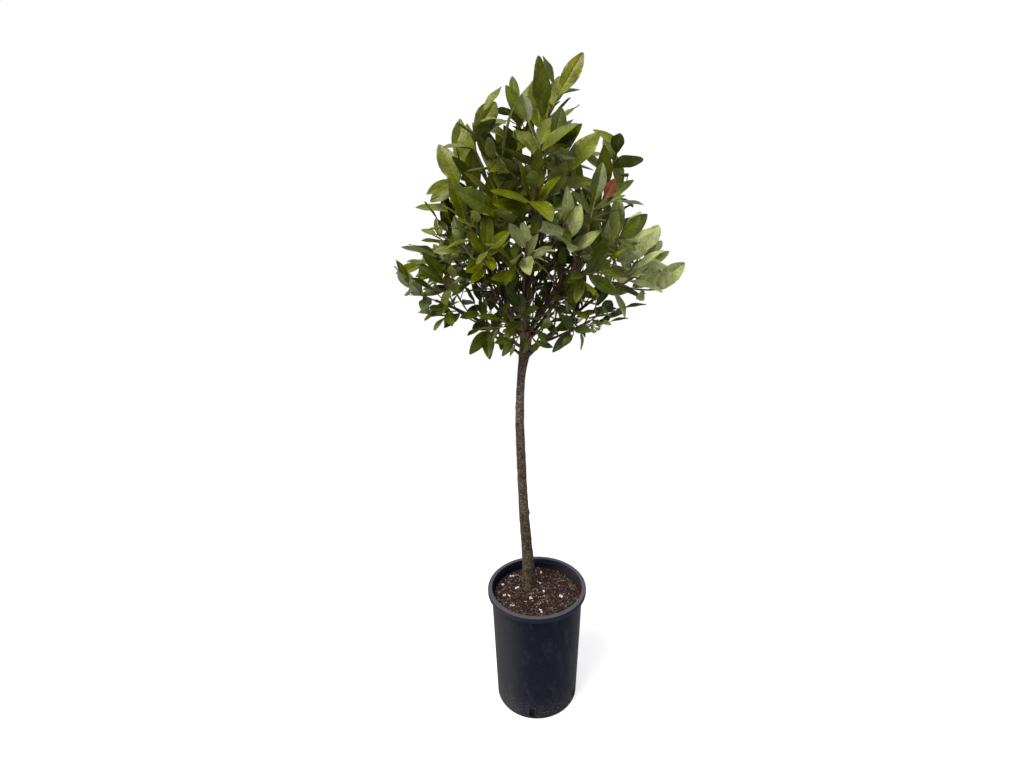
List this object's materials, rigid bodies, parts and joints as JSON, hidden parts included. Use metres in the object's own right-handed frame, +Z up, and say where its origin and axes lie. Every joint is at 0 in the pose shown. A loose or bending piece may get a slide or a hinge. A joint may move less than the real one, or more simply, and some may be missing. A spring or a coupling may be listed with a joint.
{
  "type": "standard bay tree in a nursery pot",
  "caption": "Small evergreen tree trained to a bare leaning stem with a round, loose head of large leaves, growing in a round black plastic pot.",
  "frame": {"origin": "middle of the pot's flat underside, on the ground", "axes": "+Z up along the plant, +X to the right as seen from the front, +Y to the back"},
  "size_m": [0.7279, 0.6315, 1.8333],
  "materials": {
    "pot": "moulded black polypropylene, a little dusty",
    "potting_mix": "damp bark-based potting mix with white grit",
    "bark": "smooth grey-brown bark with pale cross marks",
    "foliage": "leathery olive-green leaves, paler underneath"
  },
  "bodies": {
    "root": {"pot": "pot", "potting_mix": "potting_mix", "trunk": "bark", "bough_leader": "bark", "bough_right_low": "bark", "bough_right_high": "bark", "bough_right_back": "bark", "bough_right_front": "bark", "bough_right_foot": "bark", "bough_left_high": "bark", "bough_left_mid": "bark", "bough_left_low": "bark", "bough_left_foot": "bark", "bough_left_back": "bark", "bough_front_high": "bark", "bough_front": "bark", "bough_front_left": "bark", "bough_front_low": "bark", "bough_back_high": "bark", "bough_back": "bark", "bough_back_low": "bark", "foliage_top": "foliage", "foliage_right_top": "foliage", "foliage_right": "foliage", "foliage_right_back": "foliage", "foliage_right_front": "foliage", "foliage_right_foot": "foliage", "foliage_left_top": "foliage", "foliage_left": "foliage", "foliage_left_low": "foliage", "foliage_left_foot": "foliage", "foliage_left_back": "foliage", "foliage_front_high": "foliage", "foliage_front": "foliage", "foliage_front_left": "foliage", "foliage_front_low": "foliage", "foliage_back_high": "foliage", "foliage_back": "foliage", "foliage_back_low": "foliage"}
  },
  "joints": []
}
